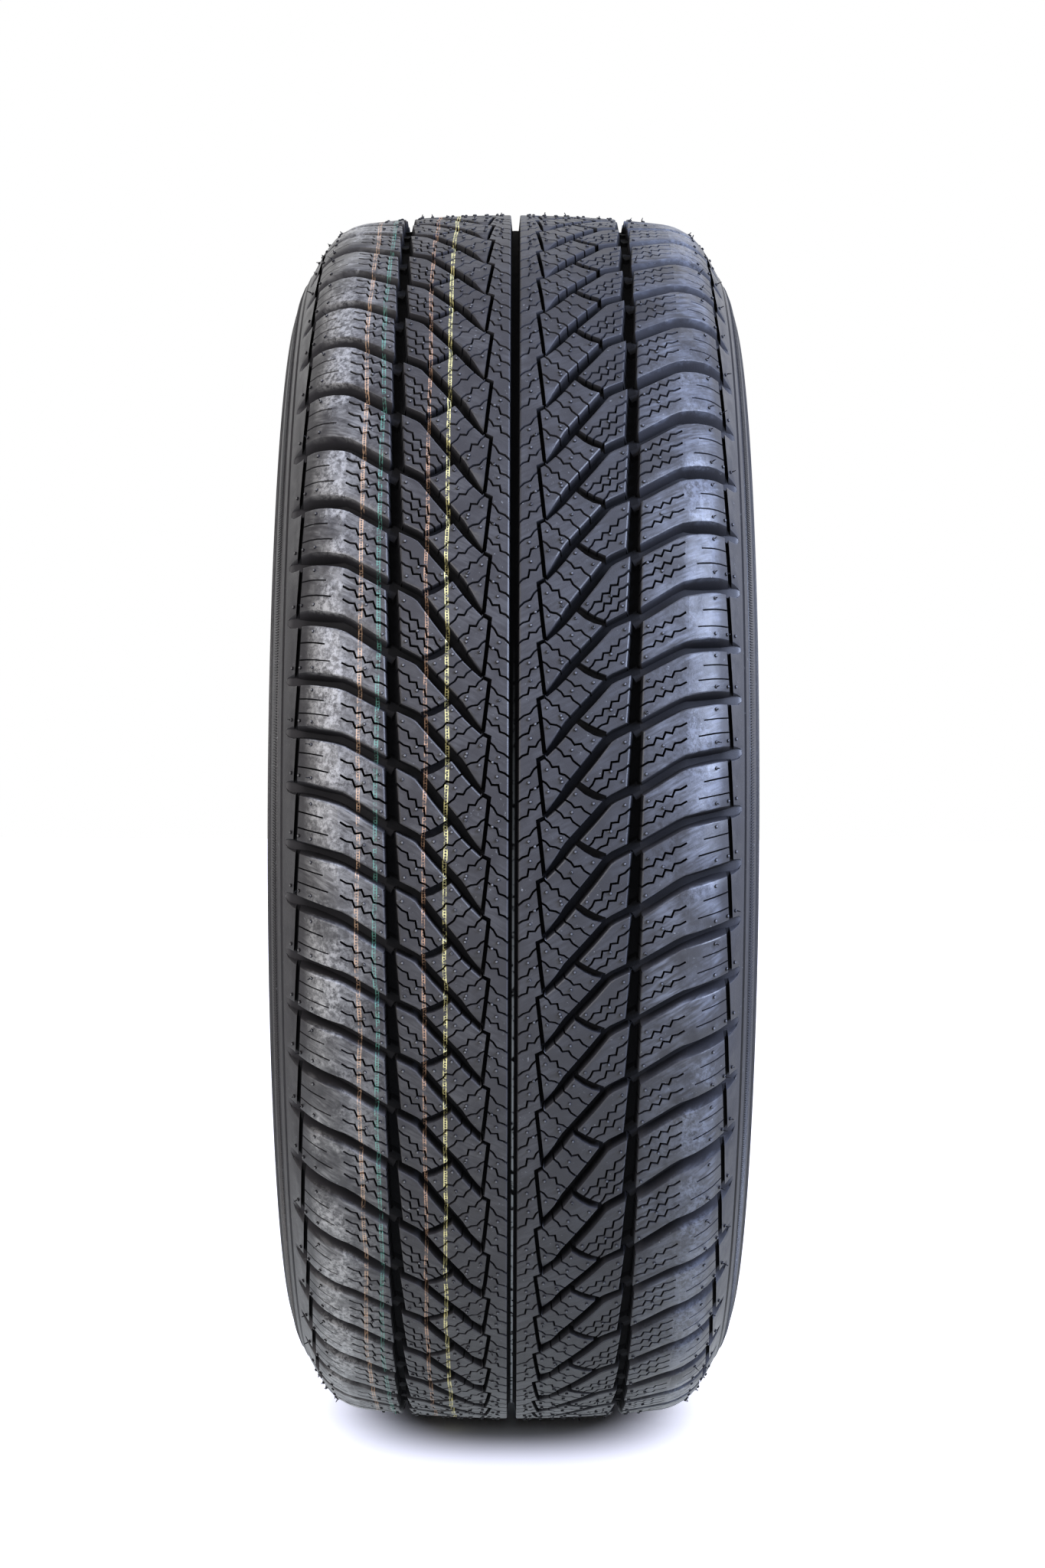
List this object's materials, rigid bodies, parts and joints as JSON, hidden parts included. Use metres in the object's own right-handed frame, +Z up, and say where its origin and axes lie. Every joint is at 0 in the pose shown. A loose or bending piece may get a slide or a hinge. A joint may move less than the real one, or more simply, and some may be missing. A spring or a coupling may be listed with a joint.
{
  "type": "car tyre",
  "caption": "Pneumatic car tyre with a directional V tread, three circumferential grooves, rounded shoulders and two bead seats that grip a wheel rim.",
  "frame": {"origin": "wheel centre, on the spin axis at the middle of the tread", "axes": "+Y along the spin axis, +Z up, +X the way the tyre rolls forward"},
  "size_m": [0.6334, 0.225, 0.6318],
  "materials": {
    "rubber": "matte"
  },
  "bodies": {
    "root": {"tyre": "rubber"}
  },
  "joints": []
}
